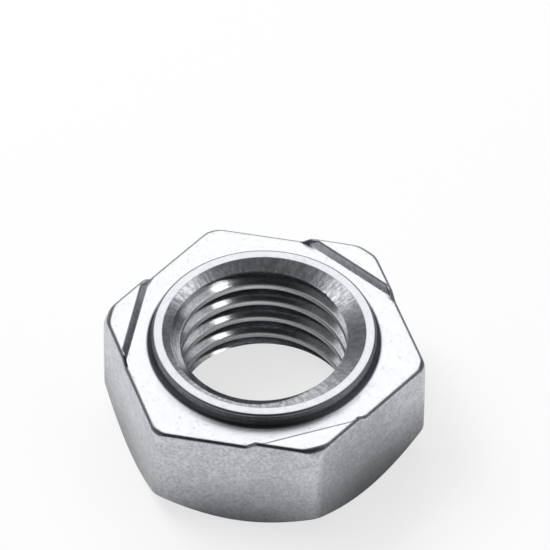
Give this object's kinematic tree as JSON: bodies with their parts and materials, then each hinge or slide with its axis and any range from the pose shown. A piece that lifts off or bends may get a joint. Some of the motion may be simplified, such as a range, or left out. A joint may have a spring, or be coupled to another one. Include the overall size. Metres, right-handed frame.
{
  "type": "hexagon weld nut",
  "caption": "Hexagon weld nut with a round pilot collar, a countersunk threaded bore and raised weld projections at alternate corners.",
  "frame": {"origin": "centre of the bearing face, on the thread axis", "axes": "+Z along the thread axis from the bearing face to the weld face; +X through one corner that carries a weld projection"},
  "size_m": [0.0274, 0.024, 0.011],
  "materials": {
    "stainless": "bright cold-formed stainless steel with a fine satin grain"
  },
  "bodies": {
    "root": {"hex_weld_nut": "stainless"}
  },
  "joints": []
}
